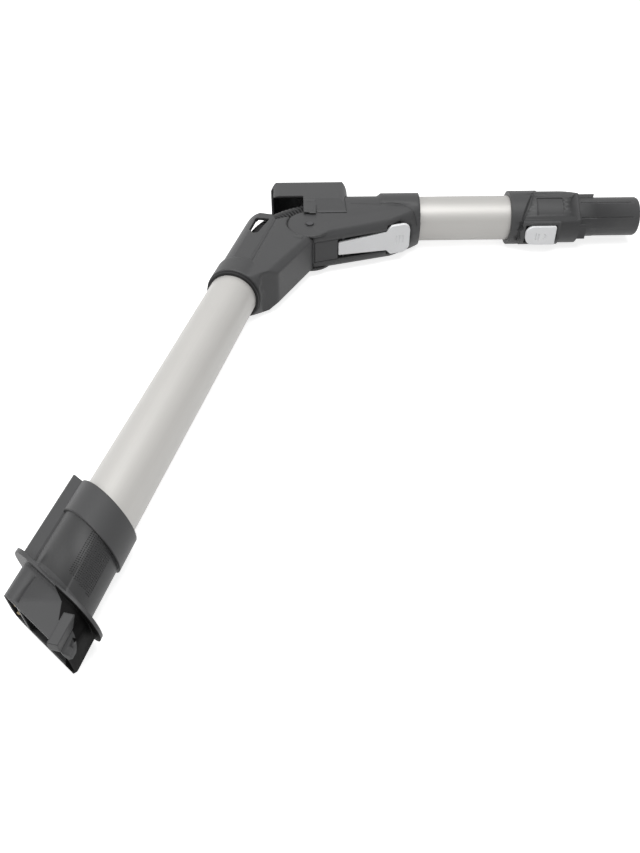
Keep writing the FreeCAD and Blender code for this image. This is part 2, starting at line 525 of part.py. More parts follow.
for side, sign in (("upper", ""), ("lower", "-")):
    blade, hole = [block("end_%s_%s" % (kind, side), ("shoulder_end - blade_length", "shoulder_end - 1"),
                  ("terminal_reach - terminal_wall - terminal_room / 2 - blade_thickness / 2",
                   "terminal_reach - terminal_wall - terminal_room / 2 + blade_thickness / 2"),
                  ("%sblade_spacing - blade_width / 2" % sign, "%sblade_spacing + blade_width / 2" % sign))
                   for kind in ("blade", "slot")]
    blades.append((side, blade))
    blade_holes.append(hole)
end_block = block("end_block_form", ("shoulder_end - blade_length - 2", "shoulder_end + 4 - blade_length"),
                  ("terminal_reach - terminal_wall - terminal_room", "terminal_reach - terminal_wall"),
                  ("terminal_wall - terminal_half", "terminal_half - terminal_wall"))
sub_part("end_terminal_block", cut("end_block_cut", end_block, *blade_holes))
for side, blade in blades:
    sub_part("end_contact_" + side, blade)

# Yoke of the lower group: collar on the long tube, side walls, inner face and hinge tongues
YOKE_SLOPE = "(lower_knee_depth - lower_face_depth) / (lower_face_end - lower_knee)"
yoke_profile = plate(
    "yoke_profile", "XY_Plane",
    [("-lower_rim", "-seam_depth"), ("-lower_rim", "-lower_rim_depth"), ("-lower_slope_end", "-lower_rim_depth"),
     ("-lower_face_end", "-lower_face_depth"),
     ("-lower_knee", "-lower_knee_depth"), ("-lower_knee + 3", "-lower_knee_depth + 3"),
     ("-plate_end", "-ear_top"), ("lobe_end", "-ear_top"), ("lobe_end", "-lobe_top"), ("-plate_end", "-seam_depth")],
    "2 * side_half + 10", [(3, "6")])
yoke_lean = -math.degrees(math.atan(size(YOKE_SLOPE)))
yoke_form = cut("yoke_form", common("yoke_blank", yoke_profile, section("yoke_section", "yoke_outer", "-lower_rim", "lobe_end + 1")),
                *bevels("yoke_bevel", "-lower_knee", "-lower_knee_depth", yoke_lean))
yoke_collar = rod("yoke_collar", "yoke_collar", "x", "-lower_rim", "-cover_end")
yoke_hollow = plate(
    "yoke_hollow", "XY_Plane",
    [("tube_seat + wall - lower_rim", "hose_room + 10"), ("10", "hose_room + 10"), ("10", "-lower_knee_depth - 10"),
     ("-lower_knee + 0.1", "-lower_knee_depth - 10"), ("-lower_knee - 0.1", "-lower_knee_depth + wall"),
     ("tube_seat + wall - lower_rim",
      "-lower_knee_depth + wall + (lower_rim - tube_seat - wall - lower_knee) * " + YOKE_SLOPE)],
    "2 * (side_half - side_taper - edge_bevel)")
yoke_hose_room = rod("yoke_hose_room", "hose_room", "x", "tube_seat - 1 - lower_rim", "10")
yoke_bore = rod("yoke_bore", "tube_radius", "x", "-lower_rim - 1", "tube_seat - lower_rim")
yoke_ear_room = rod("yoke_ear_room", "ear_radius + gap", "z", "-side_half - 1", "side_half + 1", "0", "-pin_offset")
yoke_cone = frustum("yoke_cone_form", "yoke_collar + 0.2", "yoke_collar + yoke_cone * 10",
                    "-lower_rim", "rim_cone_length * 10 - lower_rim")
yoke_open = cut("yoke_open", common("yoke_rounded", fuse("yoke_solid", yoke_form, yoke_collar), yoke_cone),
                yoke_hollow, yoke_hose_room, yoke_bore, yoke_ear_room)
tongues = []
for side, sign in (("upper", 1), ("lower", -1)):
    ends = ("tongue_inner", "ear_inner - fit")
    root = ("tongue_inner", "side_half - 1.5")
    if sign < 0:
        ends = ("fit - ear_inner", "-tongue_inner")
        root = ("1.5 - side_half", "-tongue_inner")
    disc = rod("tongue_disc_" + side, "tongue_radius", "z", ends[0], ends[1], "0", "-pin_offset")
    link = block("tongue_link_" + side, ("-ear_radius - gap - 1", "0"), ("-pin_offset", "-ear_top + 2"), ends)
    foot = block("tongue_root_" + side, ("-ear_radius - gap - 5", "-ear_radius - gap - 0.5"),
                 ("-pin_offset", "-ear_top + 2"), root)
    tongues += [disc, link, foot]
yoke_core = cut("yoke_core_cut", fuse("yoke_whole", yoke_open, *tongues),
                rod("yoke_pin_hole", "pin_radius + pin_fit", "z", "-side_half", "side_half", "0", "-pin_offset"))
sub_part("yoke_core", yoke_core, turned=True)

# Outer cover of the yoke, with a see-through window and a bar that the hook catches
cover_profile = plate(
    "cover_profile", "XY_Plane",
    [("-cover_end + fit", "-seam_depth + 0.1"), ("-cover_end + fit", "yoke_outer + 5"),
     ("bar_end", "yoke_outer + 5"), ("bar_end", "bar_end - 8"), ("-plate_end", "-seam_depth + 0.1")],
    "2 * side_half + 10")
cover_nose = plate(
    "cover_nose", "XY_Plane",
    [("-cover_end", "yoke_outer"), ("bar_end", "yoke_outer"), ("bar_end", "-seam_depth"), ("-cover_end", "-seam_depth")],
    "2 * side_half + 10", [(1, "12")])
cover_form = common("cover_form", cover_profile, cover_nose, section("cover_section", "yoke_outer", "-lower_rim", "bar_end"))
window = plate(
    "window", "XY_Plane",
    [("bar_end - bar_width", "-window_low"), ("bar_end - bar_width - 1.5", "window_high"),
     ("bar_end - bar_width - window_length + 4", "window_high - 0.7"), ("bar_end - bar_width - window_length", "window_high - 5"),
     ("bar_end - bar_width - window_length + 2", "3 - window_low")],
    "2 * side_half + 10", [(i, "1.5") for i in range(5)])
cover_hollow = block("cover_hollow", ("-cover_end - 1", "bar_end - wall"), ("-seam_depth - 1", "hose_room - 10"),
                     ("-side_half + wall", "side_half - wall"))
cover_hose_room = rod("cover_hose_room", "hose_room + 0.6", "x", "-cover_end - 1", "bar_end + 1")
notch = block("latch_notch", ("hook_pin_x - hook_reach - notch_play", "hook_pin_x - hook_reach + hook_nose + notch_play"),
              ("0", "yoke_outer + 1"), ("-hook_half - notch_play", "hook_half + notch_play"))
cover_bore = rod("cover_bore", "tube_radius + fit", "x", "-lower_rim - 1", "tube_seat - lower_rim + fit")
yoke_cover = cut("yoke_cover_cut", cover_form, window, cover_hollow, cover_hose_room, notch, cover_bore)
sub_part("yoke_cover", yoke_cover, turned=True)
seal_ring = cut("seal_ring_cut", rod("seal_ring_outer", "yoke_collar - 0.8", "x", "-lower_rim - seal_width", "-lower_rim"),
                rod("seal_ring_bore", "tube_radius", "x", "-lower_rim - seal_width - 1", "-lower_rim + 1"))
sub_part("seal_ring", seal_ring, turned=True)

# Long lower tube
long_tube = cut("long_tube_cut", rod("long_tube_outer", "tube_radius", "x", "-connector_rim - tube_seat", "tube_seat - lower_rim"),
                rod("long_tube_bore", "tube_radius - tube_wall", "x", "-connector_rim - tube_seat - 1", "tube_seat - lower_rim + 1"))
sub_part("long_tube", long_tube, turned=True)

# Connector at the lower end: its rim, flange and mouth are cut on a slant, rolled about the tube


def slab(name, first, second):
    """A slab between two slanted planes, each given by where it meets the axis."""
    item = doc.addObject("Part::Box", name)
    bind(item, "Length", "((%s) - (%s)) * cos(cut_tilt)" % (second, first), "mm")
    bind(item, "Width", "200", "mm")
    bind(item, "Height", "200", "mm")
    lean = FreeCAD.Rotation(FreeCAD.Vector(1, 0, 0), -size("cut_roll")).multiply(
        FreeCAD.Rotation(FreeCAD.Vector(0, 0, 1), -size("cut_tilt")))
    corner = lean.multVec(FreeCAD.Vector(0, -100, -100))
    start = FreeCAD.Vector(-size(second), 0, 0)
    item.Placement = FreeCAD.Placement(start + corner, lean)
    return item


def oval(name, outer, inner, half, start, end, outer_round, inner_round=None, heel_round=None):
    """A flattened loop across the wand, padded along it."""
    inner_round = inner_round or outer_round
    heel_round = heel_round or inner_round
    item = plate(name, "YZ_Plane", [(outer, half), ("-(%s)" % inner, half), ("-(%s)" % inner, "-(%s)" % half), (outer, "-(%s)" % half)],
                 "(%s) - (%s)" % (end, start),
                 [(0, outer_round), (1, inner_round), (2, heel_round), (3, outer_round)])
    return place(item, "-((%s) + (%s)) / 2" % (start, end))


END_START = "connector_rim - 40"
END_STOP = "mouth_at + 40"
grip = common("grip_form", rod("grip_rod", "grip_radius", "x", "-(%s)" % END_STOP, "-(%s)" % END_START),
              slab("grip_slab", "connector_rim", "flange_at + 1"))
cuff = common("cuff_form", rod("cuff_rod", "connector_radius", "x", "-(%s)" % END_STOP, "-(%s)" % END_START),
              slab("cuff_slab", "connector_rim", "grip_start"))
nose = common("nose_form", oval("nose_loop", "nose_outer", "nose_inner", "nose_half", END_START, END_STOP, "nose_round", "nose_half - 2", "nose_heel"),
              slab("nose_slab", "flange_at + 1", "mouth_at"))
flange = common("flange_form", oval("flange_loop", "flange_outer", "flange_inner", "flange_half", END_START, END_STOP, "flange_half - 0.3"),
                slab("flange_slab", "flange_at", "flange_at + flange_thickness"))
ridge_form = common("ridge_form", oval("ridge_loop", "ridge_reach", "0", "ridge_half", END_START, END_STOP, "3"),
                    slab("ridge_slab", "connector_rim + ridge_shift", "flange_at"))
catch = block("catch_block", ("-catch_at - catch_length", "-catch_at"), ("-catch_side - catch_width", "-catch_side"),
              ("nose_half - nose_wall", "nose_half + catch_rise"))
tube_stop = "connector_rim + tube_seat"
airway_loop = common("airway_form", oval("airway_loop", "divider_at", "nose_inner - nose_wall", "nose_half - nose_wall", END_START, END_STOP, "2", "nose_half - nose_wall - 2", "nose_heel - nose_wall"),
                     slab("airway_slab", "flange_at", "mouth_at + 2"))
airway_throat = common("throat_form", rod("throat_rod", "airway_radius", "x", "-(%s)" % END_STOP, "-(%s)" % END_START),
                       slab("throat_slab", tube_stop + " - 30", "flange_at"))
plug_room = common("plug_form", oval("plug_loop", "nose_outer - nose_wall", "-(divider_at + divider)", "nose_half - nose_wall", END_START, END_STOP, "2"),
                   slab("plug_slab", "mouth_at - terminal_depth", "mouth_at + 2"))
tube_room = rod("connector_bore", "tube_radius", "x", "-(connector_rim + tube_seat)", "-(%s)" % END_START)
connector = cut("connector_cut", fuse("connector_form", grip, cuff, nose, flange, ridge_form, catch),
                tube_room, airway_throat, airway_loop, plug_room)
sub_part("connector_body", connector, turned=True)
terminal_block = common(
    "terminal_form", oval("terminal_loop", "nose_outer - nose_wall", "-(divider_at + divider)", "nose_half - nose_wall", END_START, END_STOP, "2"),
    slab("terminal_slab", "mouth_at - terminal_depth", "mouth_at - terminal_depth + block_depth"))
contact_holes = []
contacts = []
MIDDLE_Y = "(nose_outer - nose_wall + divider_at + divider) / 2"
CONTACT_START = "-mouth_at + terminal_depth - block_depth / 2 + tan(cut_tilt) * " + MIDDLE_Y
for side, sign in (("upper", "1"), ("lower", "-1")):
    pins = [rod("contact_%s_%s" % (kind, side), "contact_radius", "x", CONTACT_START + " - contact_length", CONTACT_START,
                MIDDLE_Y, sign + " * contact_spacing") for kind in ("pin", "hole")]
    contacts.append((side, pins[0]))
    contact_holes.append(pins[1])
sub_part("terminal_block", cut("terminal_block_cut", terminal_block, *contact_holes), turned=True)
for side, pin in contacts:
    sub_part("connector_contact_" + side, pin, turned=True)

# Corrugated hose through the hinge, with a cuff at each end
cuff_end = "cuff_start + cuff_length"
for side, start, end, lower in (("upper", "cuff_start", cuff_end, False), ("lower", "-(%s)" % cuff_end, "-cuff_start", True)):
    ring = cut("hose_cuff_%s_cut" % side, rod("cuff_outer_" + side, "hose_room", "x", start, end),
               rod("cuff_inner_" + side, "hose_radius", "x", start + " - 1", end + " + 1"))
    sub_part("hose_cuff_" + side, ring, turned=lower)
BEND_RADIUS = "(hose_start + pin_offset * tan(rest_bend * 0.5deg)) / tan(rest_bend * 0.5deg)"


def hose_solid(name, radius):
    """Straight out of each cuff and round the hinge in one arc."""
    turn = doc.addObject("Part::Torus", name + "_turn")
    bind(turn, "Radius1", BEND_RADIUS, "mm")
    bind(turn, "Radius2", radius, "mm")
    bind(turn, "Angle3", "rest_bend", "deg")
    turn.Placement = FreeCAD.Placement(FreeCAD.Vector(size("hose_start"), -size(BEND_RADIUS), 0),
                                       FreeCAD.Rotation(FreeCAD.Vector(0, 0, 1), 90))
    upper_run = rod(name + "_upper_run", radius, "x", "hose_start", cuff_end)
    lower_run = rod(name + "_lower_run", radius, "x", "-(%s)" % cuff_end, "-hose_start")
    pivot = FreeCAD.Vector(0, -size("pin_offset"), 0)
    turned = doc.addObject("Part::Refine", name + "_lower_turned")
    turned.Source = lower_run
    turned.Placement = FreeCAD.Placement(FreeCAD.Vector(), FreeCAD.Rotation(FreeCAD.Vector(0, 0, 1), size("rest_bend")), pivot)
    return fuse(name, turn, upper_run, turned)


sub_part("flex_hose", cut("flex_hose_cut", hose_solid("hose_outside", "hose_radius"), hose_solid("hose_inside", "hose_radius - hose_wall")))

# Every piece is set down so that the origin is under the middle of the wand's box
doc.recompute()
for item in doc.Objects:
    if "Invalid" in item.State or "Error" in item.State:
        raise RuntimeError("failed: " + item.Name)
placed = []
box = FreeCAD.BoundBox()
for name, item, placement in nodes:
    own = doc.addObject("Part::Refine", "piece_" + name)
    own.Source = item
    item.Label = name + "_form"
    own.Label = name
    own.Placement = placement
    placed.append((name, own, placement))
doc.recompute()
for name, own, placement in placed:
    own.Placement = placement
    shape = own.Shape.copy()
    shape.Placement = placement
    box.add(shape.optimalBoundingBox(False, False))
shift = FreeCAD.Placement(FreeCAD.Vector(-box.Center.x, -box.Center.y, -box.ZMin), FreeCAD.Rotation())
os.makedirs("parts", exist_ok=True)
for name, own, placement in placed:
    own.Placement = shift.multiply(placement)
    if own.Shape.isNull() or not own.Shape.isValid() or len(own.Shape.Solids) != 1:
        raise RuntimeError("bad shape: " + name)
    own.Shape.exportStep("parts/%s.step" % name)
print("origin shift", shift.Base)
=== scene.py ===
import math
import bmesh
import bpy
from mathutils import Matrix, Vector


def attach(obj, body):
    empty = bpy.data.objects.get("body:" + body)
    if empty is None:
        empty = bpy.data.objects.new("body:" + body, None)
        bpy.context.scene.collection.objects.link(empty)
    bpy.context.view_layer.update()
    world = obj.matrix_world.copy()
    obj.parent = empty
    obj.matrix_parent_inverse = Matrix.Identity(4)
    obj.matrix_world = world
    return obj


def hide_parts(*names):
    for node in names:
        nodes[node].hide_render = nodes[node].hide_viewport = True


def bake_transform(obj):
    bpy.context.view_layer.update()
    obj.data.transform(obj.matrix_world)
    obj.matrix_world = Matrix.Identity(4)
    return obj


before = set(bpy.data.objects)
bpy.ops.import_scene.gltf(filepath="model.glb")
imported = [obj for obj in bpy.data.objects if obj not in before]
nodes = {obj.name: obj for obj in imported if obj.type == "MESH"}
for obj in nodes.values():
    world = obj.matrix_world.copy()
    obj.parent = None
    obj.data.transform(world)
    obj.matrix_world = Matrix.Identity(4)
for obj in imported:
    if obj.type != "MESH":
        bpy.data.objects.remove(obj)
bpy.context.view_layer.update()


# --- The table it lies on, the light and the camera -------------------------------------------
# The wand lies on a white sweep, under one broad lamp overhead and a weaker one on its left. The
# camera stands at the photograph's viewing angle.
scene = bpy.context.scene
scene.view_settings.view_transform = "Standard"


def feed(socket, value):
    """Links a wire to a socket, or sets the socket to a plain value."""
    if isinstance(value, Wire):
        value.tree.links.new(value.socket, socket)
    else:
        socket.default_value = value


class Wire:
    """A node's output that can be used in a Python expression."""

    def __init__(self, tree, socket):
        self.tree = tree
        self.socket = socket

    def maths(self, operation, *values):
        node = self.tree.nodes.new("ShaderNodeMath")
        node.operation = operation
        for socket, value in zip(node.inputs, values):
            feed(socket, value)
        return Wire(self.tree, node.outputs[0])

    def __add__(self, other):
        return self.maths("ADD", self, other)

    __radd__ = __add__

    def __mul__(self, other):
        return self.maths("MULTIPLY", self, other)

    __rmul__ = __mul__

    def __sub__(self, other):
        return self.maths("SUBTRACT", self, other)

    def __rsub__(self, other):
        return self.maths("SUBTRACT", other, self)

    def __truediv__(self, other):
        return self.maths("DIVIDE", self, other)

    def __rtruediv__(self, other):
        return self.maths("DIVIDE", other, self)

    def at_least(self, other):
        return self.maths("MAXIMUM", self, other)

    def at_most(self, other):
        return self.maths("MINIMUM", self, other)

    def sine(self):
        return self.maths("SINE", self)


class Recipe:
    """The nodes of one finish, world or pattern."""

    def __init__(self, tree):
        self.tree = tree
        tree.nodes.clear()

    def node(self, kind, settings=None, output=0, by_number=None, **by_name):
        """Adds one node: first its settings, then what its sockets hold, by number or by name."""
        made = self.tree.nodes.new(kind)
        for name, value in (settings or {}).items():
            setattr(made, name, value)
        for number, value in (by_number or {}).items():
            feed(made.inputs[number], value)
        for name, value in by_name.items():
            feed(made.inputs[name.replace("_", " ")], value)
        if made.outputs:
            return Wire(self.tree, made.outputs[output])

    def mix(self, amount, first, second):
        held = {0: amount, 6: first, 7: second}
        return self.node("ShaderNodeMix", {"data_type": "RGBA"}, 2, held)

    def seen_directly(self):
        """1 for what is seen, also in a mirror or through glass, and 0 for the light it gives."""
        camera_ray, glossy_ray, clear_ray = [
            self.node("ShaderNodeLightPath", output=ray)
            for ray in ("Is Camera Ray", "Is Glossy Ray", "Is Transmission Ray")]
        return camera_ray.at_least(glossy_ray).at_least(clear_ray)


class Finish(Recipe):
    """The nodes of one material."""

    def __init__(self, name):
        self.material = bpy.data.materials.new(name)
        self.material.use_nodes = True
        super().__init__(self.material.node_tree)

    def surface(self, shader):
        self.node("ShaderNodeOutputMaterial", Surface=shader)
        return self.material


sweep_grey = (0.66, 0.66, 0.66, 1)
sweep_glow = 0.8
sweep_white = Finish("sweep_white")
paint = sweep_white.node("ShaderNodeBsdfDiffuse", Color=sweep_grey)
glow = sweep_white.node("ShaderNodeEmission", Strength=sweep_white.seen_directly() * sweep_glow)
both = sweep_white.node("ShaderNodeAddShader", by_number={0: paint, 1: glow})
bpy.ops.mesh.primitive_plane_add(size=14, location=(0, 0, 0))
sweep = bpy.context.object
sweep.name = "white_floor"
sweep.data.materials.append(sweep_white.surface(both))

ambient = 0.22
scene.world = bpy.data.worlds.new("studio")
scene.world.use_nodes = True
studio = Recipe(scene.world.node_tree)
brightness = studio.seen_directly() * (1 - ambient) + ambient
sky = studio.node("ShaderNodeBackground", Color=(1, 1, 1, 1), Strength=brightness)
studio.node("ShaderNodeOutputWorld", Surface=sky)


def lamp(name, place, width, height, watts):
    """A rectangular lamp that is aimed at the middle of the wand."""
    light = bpy.data.lights.new(name, "AREA")
    light.shape = "RECTANGLE"
    light.size = width
    light.size_y = height
    light.energy = watts
    item = bpy.data.objects.new(name, light)
    item.location = place
    item.rotation_euler = (-Vector(place)).to_track_quat("-Z", "Y").to_euler()
    scene.collection.objects.link(item)


lamp("overhead_lamp", (-0.1, -0.1, 1.5), width=1.5, height=1.0, watts=23)
lamp("left_lamp", (-1.5, -0.3, 0.9), width=0.8, height=0.8, watts=7)

eye = bpy.data.cameras.new("photo_camera")
eye.sensor_width = 36
eye.lens = 37.5
camera = bpy.data.objects.new("photo_camera", eye)
camera.matrix_world = Matrix((
    (0.9997, 0.0159, -0.0180, -0.0661),
    (-0.0241, 0.6756, -0.7369, -0.4960),
    (0.0004, 0.7371, 0.6758, 0.4194),
    (0, 0, 0, 1)))
scene.collection.objects.link(camera)
scene.camera = camera


# --- Dark housings ----------------------------------------------------------------------------
# The hood, the yoke's cover and the lever's cap are moulded in dark grey plastic with a fine
# matte texture from the mould, and the terminal blocks and the hose's cuffs in black. Every edge
# carries a small radius.
housing_grey = (0.050, 0.0503, 0.0515)
# Colours of painted shade on the connector: a near-black grey for its grip and a black for the
# side of its nose.
painted_shade_grey = (0.003, 0.003, 0.0031, 1)
recess_shade_black = (0.003, 0.003, 0.003, 1)
housing_edge = 0.0014
fine_edge = 0.0003
mould_grain = 2600.0
mould_relief = 0.00005
fine_relief = 0.00004


def toned(colour, tone):
    """A colour made darker or lighter, with its alpha."""
    return tuple(channel * tone for channel in colour) + (1,)


def moulded_plastic(name, colour, roughness, relief, edge, grain=mould_grain,
                    painted_shade=None, painted_recess=None):
    """A matte grained finish, with an optional zone of painted shade and an optional zone painted
    black as the shade of a recess.
    """
    made = Finish(name)
    place = made.node("ShaderNodeTexCoord", output="Object")
    clouds = made.node("ShaderNodeTexNoise", Vector=place, Scale=60.0, Detail=3.0)
    fine = made.node("ShaderNodeTexNoise", Vector=place, Scale=grain, Detail=2.0, Roughness=0.6)
    tint = made.mix(clouds * 0.6 + fine * 0.4, toned(colour, 0.93), toned(colour, 1.07))
    # Painted shade: the colour is darkened towards near-black inside the shaded zone.
    if painted_shade:
        tint = made.mix(painted_shade(made, place), tint, painted_shade_grey)
    round_edge = made.node("ShaderNodeBevel", {"samples": 8}, Radius=edge)
    bump = made.node("ShaderNodeBump", Strength=0.35, Distance=relief, Height=fine,
                     Normal=round_edge)
    plastic = made.node("ShaderNodeBsdfPrincipled", Base_Color=tint, Specular_IOR_Level=0.35,
                        Roughness=fine * 0.12 + (roughness - 0.06), Normal=bump)
    if not painted_recess:
        return made.surface(plastic)
    # Painted shade: a black surface is mixed in over the blacked zone, for the shade of a deep
    # recess.
    black = made.node("ShaderNodeBsdfPrincipled", Base_Color=recess_shade_black,
                      Specular_IOR_Level=0.08, Roughness=0.6, Normal=bump)
    held = {0: painted_recess(made, place), 1: plastic, 2: black}
    return made.surface(made.node("ShaderNodeMixShader", by_number=held))


def finish_nodes(material, *names):
    """Gives whole pieces of the wand one finish."""
    for name in names:
        for slot in nodes[name].material_slots:
            slot.material = material


dark_plastic = moulded_plastic("dark_plastic", housing_grey, roughness=0.5,
                               relief=mould_relief, edge=housing_edge)
black_plastic = moulded_plastic("black_plastic", (0.012, 0.012, 0.0125), roughness=0.5,
                                relief=fine_relief, edge=fine_edge)
finish_nodes(dark_plastic, "upper_hood", "yoke_cover", "lever_cap")
finish_nodes(black_plastic, "terminal_block", "end_terminal_block",
             "hose_cuff_upper", "hose_cuff_lower")


# --- Tubes ------------------------------------------------------------------------------------
# Two aluminium tubes of one diameter, drawn, brushed along their length and anodised in a
# champagne silver. The short one is pressed into the upper housing, the long one into the yoke.
bend_angle = math.radians(74.3)
champagne_dark = (0.44, 0.431, 0.414)
champagne_light = (0.51, 0.50, 0.482)


def satin_tube(name, turn, tone):
    """Brushed aluminium whose hairs run along a tube that is turned by an angle, its colour scaled
    by tone, which on the long tube is painted light.
    """
    made = Finish(name)
    place = made.node("ShaderNodeTexCoord", output="Object")
    along = made.node("ShaderNodeMapping", Vector=place, Rotation=(0, 0, turn))
    stretched = made.node("ShaderNodeMapping", Vector=along, Scale=(6.0, 700.0, 700.0))
    hairs = made.node("ShaderNodeTexNoise", Vector=stretched, Scale=1.0, Detail=6.0, Roughness=0.7)
    clouds = made.node("ShaderNodeTexNoise", Vector=place, Scale=25.0, Detail=2.0)
    tint = made.mix(hairs * 0.6 + clouds * 0.4,
                    toned(champagne_dark, tone), toned(champagne_light, tone))
    bump = made.node("ShaderNodeBump", Strength=0.2, Distance=0.00002, Height=hairs)
    return made.surface(made.node("ShaderNodeBsdfPrincipled", Base_Color=tint, Metallic=0.3,
                                  Roughness=hairs * 0.12 + 0.38, Normal=bump))


finish_nodes(satin_tube("satin_tube_short", 0, 1.0), "short_tube")
# Painted light: the long tube is coloured a tenth lighter than the short one, though both are one
# metal.
finish_nodes(satin_tube("satin_tube_long", -bend_angle, 1.1), "long_tube")


# --- Pins and contacts ------------------------------------------------------------------------
# Blackened steel pins, pressed into the housings, carry the hinge, the latch and the lever. Brass
# blades and pins, held in the terminal blocks, carry the current between the wand's ends.
def metal(name, colour, roughness):
    """Bare metal, slightly uneven in tone and gloss."""
    made = Finish(name)
    place = made.node("ShaderNodeTexCoord", output="Object")
    fine = made.node("ShaderNodeTexNoise", Vector=place, Scale=900.0, Detail=2.0)
    tint = made.mix(fine, toned(colour, 0.9), toned(colour, 1.0))
    return made.surface(made.node("ShaderNodeBsdfPrincipled", Base_Color=tint, Metallic=1.0,
                                  Roughness=fine * 0.1 + roughness))


pin_steel = metal("pin_steel", (0.10, 0.10, 0.105), roughness=0.45)
contact_brass = metal("contact_brass", (0.24, 0.19, 0.11), roughness=0.5)
finish_nodes(pin_steel, "hinge_pin", "latch_pin", "lever_pin")
finish_nodes(contact_brass, "end_contact_upper", "end_contact_lower",
             "connector_contact_upper", "connector_contact_lower")


# --- Seal at the yoke's rim -------------------------------------------------------------------
# A black rubber ring, pushed over the long tube, that closes the gap between the tube and the
# yoke.
rubber_grain = 1800.0
black_rubber = moulded_plastic("black_rubber", (0.010, 0.010, 0.0105), roughness=0.6,
                               relief=fine_relief, edge=fine_edge, grain=rubber_grain)
finish_nodes(black_rubber, "seal_ring")


# --- Corrugated hose --------------------------------------------------------------------------
# A black corrugated hose carries the air through the joint, from the cuff in the upper housing
# to the cuff in the yoke, and bends with it. Its ribs follow each other at one pitch, so a
# pattern grows them along the hose's line.
hinge = Vector((-0.0585989, 0.1688502, 0.023))
tube_offset = 0.038
hose_end = 0.066
bend_end = 0.018
cuff_lead = 0.012
bend_lead = 0.0277
points_per_rib = 10.0
upper_half = Matrix.Identity(3)
lower_half = Matrix.Rotation(bend_angle, 3, "Z")


def plain_mesh(item):
    """The item's mesh with its modifiers applied."""
    bpy.context.view_layer.update()
    evaluated = item.evaluated_get(bpy.context.evaluated_depsgraph_get())
    return bpy.data.meshes.new_from_object(evaluated)


class Pattern(Recipe):
    """A Geometry Nodes tree with named inputs that grows what repeats."""

    def __init__(self, name, **inputs):
        super().__init__(bpy.data.node_groups.new(name, "GeometryNodeTree"))
        inputs["Finish"] = "Material"
        for label, kind in inputs.items():
            self.tree.interface.new_socket(label, in_out="INPUT", socket_type="NodeSocket" + kind)
        self.tree.interface.new_socket("Grown", in_out="OUTPUT", socket_type="NodeSocketGeometry")
        self.given = {label: self.node("NodeGroupInput", output=label) for label in inputs}

    def grown_on(self, item, skin, **values):
        """Ends the tree with the skin, runs it on the item and returns the plain mesh."""
        plain = self.node("GeometryNodeRealizeInstances", Geometry=skin)
        painted = self.node("GeometryNodeSetMaterial", Geometry=plain,
                            Material=self.given["Finish"])
        self.node("NodeGroupOutput", Grown=painted)
        grower = item.modifiers.new(self.tree.name, "NODES")
        grower.node_group = self.tree
        for socket in self.tree.interface.items_tree:
            if socket.in_out == "INPUT" and socket.name in values:
                grower[socket.identifier] = values[socket.name]
        return plain_mesh(item)


hose_line = bpy.data.curves.new("hose_line", "CURVE")
hose_line.dimensions = "3D"
hose_line.resolution_u = 48
bend = hose_line.splines.new("BEZIER")
bend.bezier_points.add(3)
knots = (
    (upper_half, hose_end, cuff_lead, cuff_lead), (upper_half, bend_end, cuff_lead, bend_lead),
    (lower_half, -bend_end, bend_lead, cuff_lead), (lower_half, -hose_end, cuff_lead, cuff_lead))
for knot, (half, along, before, after) in zip(bend.bezier_points, knots):
    spot = hinge + half @ Vector((along, tube_offset, 0))
    knot.co = spot
    knot.handle_left_type = "FREE"
    knot.handle_right_type = "FREE"
    knot.handle_left = spot + half @ Vector((before, 0, 0))
    knot.handle_right = spot - half @ Vector((after, 0, 0))
hose_item = bpy.data.objects.new("hose_line", hose_line)
scene.collection.objects.link(hose_item)

hose = Pattern("hose_ribs", Line="Geometry", Pitch="Float", Valley="Float", Rib="Float")
pitch = hose.given["Pitch"]
run = hose.node("GeometryNodeSplineParameter", output="Length")
wave = (run / pitch * math.tau).sine() * 0.5 + 0.5
fine_line = hose.node("GeometryNodeResampleCurve", {"mode": "LENGTH"}, Curve=hose.given["Line"],
                      Length=pitch / points_per_rib)
swell = hose.node("GeometryNodeSetCurveRadius", Curve=fine_line,
                  Radius=hose.given["Valley"] + hose.given["Rib"] * wave)
hoop = hose.node("GeometryNodeCurvePrimitiveCircle", Resolution=64, Radius=1.0)
skin = hose.node("GeometryNodeCurveToMesh", Curve=swell, Profile_Curve=hoop,
                 Scale=hose.node("GeometryNodeInputRadius"))
hose_rubber = moulded_plastic("hose_rubber", (0.032, 0.032, 0.033), roughness=0.45,
                              relief=fine_relief, edge=fine_edge, grain=rubber_grain)
hose_mesh = hose.grown_on(hose_item, skin, Pitch=0.0032, Valley=0.0117, Rib=0.0027,
                          Finish=hose_rubber)
hose_mesh.shade_smooth()
bpy.data.objects.remove(hose_item)
corrugated_hose = bpy.data.objects.new("corrugated_hose", hose_mesh)
scene.collection.objects.link(corrugated_hose)
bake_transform(corrugated_hose)
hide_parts("flex_hose")


# --- Upper housing ----------------------------------------------------------------------------
# Two shells of dark plastic, welded, that hold the short tube and the lever. Their long edges
# flow into the faces, and the seam between them is a fine groove that turns down beside the tube.
soft_edge = 0.004
soft_plastic = moulded_plastic("soft_plastic", housing_grey, roughness=0.5,
                               relief=mould_relief, edge=soft_edge)


def mesh_of(shape, name):
    """Turns a shape in the making into a mesh."""
    mesh = bpy.data.meshes.new(name)
    shape.to_mesh(mesh)
    shape.free()
    return mesh


